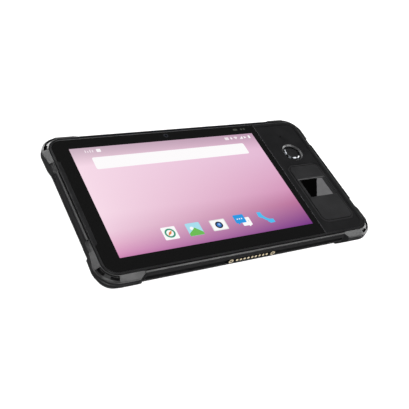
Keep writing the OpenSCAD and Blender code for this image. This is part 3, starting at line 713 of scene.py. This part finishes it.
def make_button_ring():
    """A polished ring: a raised crown that curves down outwards, inside a lower flat collar.

    The flange below them is hidden, and holds the ring under the panel.
    """
    base, top = RING.low.z, RING.high.z
    flange_r = (RING.high.x - RING.low.x) / 2
    collar_r, collar_z = 8.3, base + 1.1
    inner, outer = 6.05, 7.15
    flattest, steepest = math.radians(22), math.radians(41)
    curve = (outer - inner) / (math.sin(steepest) - math.sin(flattest))
    profile = [(inner, base), (flange_r, base), (flange_r, base + 0.7), (collar_r, base + 0.7),
               (collar_r, collar_z), (outer, collar_z)]
    crown_steps = 8
    for i in range(crown_steps + 1):
        slope = steepest + (flattest - steepest) * i / crown_steps
        profile.append((inner + curve * (math.sin(slope) - math.sin(flattest)),
                        top - curve * (math.cos(flattest) - math.cos(slope))))
    turned("button_ring_turned", profile, RING.mid, M["chrome"],
           ("button_ring",))


def make_button_dish():
    """A thin satin sheet on the dished edge of the panel round the ring, lighter grey than the
    panel: painted light on the dish.
    """
    low_r, high_r = 8.55, 9.93
    depth, thick = 0.86, 0.03
    high = PANEL.high.z - FIELD_DROP
    low = high - depth
    # Lighter grey than the panel, to paint light on the dish.
    painted_light = moulded("dish_painted_light", 46, 0.34, 0.3, 0.005, shine=0.6)
    profile = [(low_r, low), (high_r, high), (high_r, high + thick), (low_r, low + thick)]
    turned("button_dish_painted_light", profile, RING.mid, painted_light)


# ---------------------------------------------------------------- fingerprint reader


def make_reader_shadow():
    """A dark band on the reader's ledge, at the foot of its raised face: a painted shadow."""
    border, step, width, lift = 2, 0.35, 0.7, 0.02
    corner_r = 5
    low, high = READER.low, READER.high
    foot = rounded(low.x + border, low.y + border, high.x - border, high.y - border, corner_r)
    edge = rounded(low.x + border - width, low.y + border - width,
                   high.x - border + width, high.y - border + width, corner_r + width)
    # The band's near-black paints the shadow at the foot of the raised face.
    shapes = []
    for i in range(len(foot)):
        n = (i + 1) % len(foot)
        shapes.append(([edge[i], edge[n], foot[n], foot[i]], M["painted_shade"], 0.0))
    patch("reader_painted_shadow", shapes, high.z - step + lift)


def make_prism():
    """The reader's prism: one half shows its black back, the other its lit grey face, both painted
    on as the prism shows them by refraction.
    """
    low, high = PRISM.low, PRISM.high
    dark = Shader("prism_dark", srgb(1, 1, 1), 0.05)
    dark.put("Specular IOR Level", 0.1)
    dark.handling(5, 0.04, 0.1)
    # Pale grey painted for the prism's lit face.
    pale = Shader("prism_painted_lit_face", srgb(104, 104, 105), 0.3)
    pale.mottle(6, srgb(100, 100, 101), srgb(108, 108, 109))
    near_split, far_split = 0.245, 0.78
    near_x = low.x + near_split * (high.x - low.x)
    far_x = low.x + far_split * (high.x - low.x)
    shapes = [([(low.x, low.y), (near_x, low.y), (far_x, high.y), (low.x, high.y)], dark.mat, 0),
              ([(near_x, low.y), (high.x, low.y), (high.x, high.y), (far_x, high.y)],
               pale.mat, 0)]
    prism = patch("reader_prism_glass", shapes, low.z, thickness=high.z - low.z)
    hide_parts("reader_prism")


# ---------------------------------------------------------------- studio


def add_backdrop(name, points, faces, emission):
    """A sheet of pale paper that glossy parts don't mirror. Points are in metres."""
    mesh = bpy.data.meshes.new(name)
    mesh.from_pydata(points, [], faces)
    sheet = bpy.data.objects.new(name, mesh)
    bpy.context.scene.collection.objects.link(sheet)
    sheet.visible_glossy = False
    paper = Shader(name + "_paper", (0.35, 0.35, 0.35, 1), 0.9).handling(30, 0.85, 0.95)
    paper.put("Emission Color", (1, 1, 1, 1))
    paper.put("Emission Strength", emission)
    mesh.materials.append(paper.mat)
    return sheet


def make_backdrop():
    """The paper under the tablet, and the same paper round the room, which lights nothing."""
    half, height, drop = 8.0, 8.0, 0.0002
    corners = [(-half, -half), (half, -half), (half, half), (-half, half)]
    low = [(x, y, -drop) for x, y in corners]
    high = [(x, y, height) for x, y in corners]
    add_backdrop("studio_floor", low, [(0, 1, 2, 3)], 0.92)
    walls = add_backdrop("studio_walls", low + high,
                         [(i, (i + 1) % 4, (i + 1) % 4 + 4, i + 4) for i in range(4)], 0.97)
    walls.visible_diffuse = False


def add_light(name, azimuth, elevation, distance, size, power):
    """A softbox that faces the tablet from this direction, in degrees and metres."""
    data = bpy.data.lights.new(name, "AREA")
    data.shape = "RECTANGLE"
    data.size, data.size_y = size
    data.energy = power
    lamp = bpy.data.objects.new(name, data)
    bpy.context.scene.collection.objects.link(lamp)
    azimuth, elevation = math.radians(azimuth), math.radians(elevation)
    lamp.location = distance * Vector((math.cos(azimuth) * math.cos(elevation),
                                       math.sin(azimuth) * math.cos(elevation),
                                       math.sin(elevation)))
    lamp.rotation_euler = (-lamp.location).to_track_quat("-Z", "Y").to_euler()
    return lamp


def light_raised_parts_only(lamp):
    """Keeps a lamp on the bumpers and the button ring.

    The glass would mirror a low panel as a white sheet.
    """
    lit_pieces = bpy.data.collections.new(lamp.name + "_receivers")
    for piece in bpy.context.scene.objects:
        if piece.name.startswith(("bumper_", "button_ring", "button_dish")):
            lit_pieces.objects.link(piece)
    lamp.light_linking.receiver_collection = lit_pieces


def make_world():
    """A dim room round the softboxes, darker beyond the far right corner."""
    world = bpy.data.worlds.new("studio")
    bpy.context.scene.world = world
    world.use_nodes = True
    tree = world.node_tree
    place = tree.nodes.new("ShaderNodeTexCoord")
    toward = tree.nodes.new("ShaderNodeVectorMath")
    toward.operation = "DOT_PRODUCT"
    toward.inputs[1].default_value = (0.7, 0.7, 0.1)
    ramp = tree.nodes.new("ShaderNodeValToRGB")
    tree.links.new(place.outputs["Generated"], toward.inputs[0])
    tree.links.new(toward.outputs["Value"], ramp.inputs["Fac"])
    tree.links.new(ramp.outputs["Color"], tree.nodes["Background"].inputs["Color"])
    near, far = ramp.color_ramp.elements
    near.color = (0.15, 0.15, 0.15, 1)
    far.color = (0.05, 0.05, 0.05, 1)


def make_lights():
    """Two high softboxes, two low panels, a key light and a weak overhead one."""
    make_world()
    add_light("near_softbox", -48, 51, 2.1, (1.5, 0.9), 27)
    add_light("left_softbox", 125, 46, 2.1, (1.5, 0.9), 17.5)
    light_raised_parts_only(add_light("far_panel", 101, 14, 1.8, (1.0, 0.9), 31))
    light_raised_parts_only(add_light("right_panel", -9, 14, 1.8, (1.0, 0.9), 27))
    add_light("key_light", 224, 41, 1.86, (1.1, 0.8), 15)
    add_light("overhead", 210, 68, 1.8, (1.0, 1.0), 1.8)


def make_camera():
    """Looks down at the near left corner, turned so that the tablet leans to the right."""
    aim = Vector((-19.05, -17.59, GLASS_TOP)) * MM
    azimuth, elevation, roll = math.radians(-44.36), math.radians(42.54), math.radians(25.14)
    distance = 0.5405
    back = Vector((math.sin(azimuth) * math.cos(elevation),
                   -math.cos(azimuth) * math.cos(elevation), math.sin(elevation)))
    data = bpy.data.cameras.new("camera")
    data.sensor_width = 36
    data.lens = 61.35
    camera = bpy.data.objects.new("camera", data)
    bpy.context.scene.collection.objects.link(camera)
    turn = back.to_track_quat("Z", "Y").to_matrix().to_4x4() @ Matrix.Rotation(roll, 4, "Z")
    camera.matrix_world = Matrix.Translation(aim + back * distance) @ turn
    bpy.context.scene.camera = camera


make_camera()
make_backdrop()
dress_nodes()
dress_case()
make_button_ring()
make_button_dish()
make_lights()
make_picture()
make_icons()
make_status_marks()
make_glass_details()
make_seam_highlight()
make_back_details()
make_reader_shadow()
make_prism()

bpy.context.scene.view_settings.view_transform = "Standard"
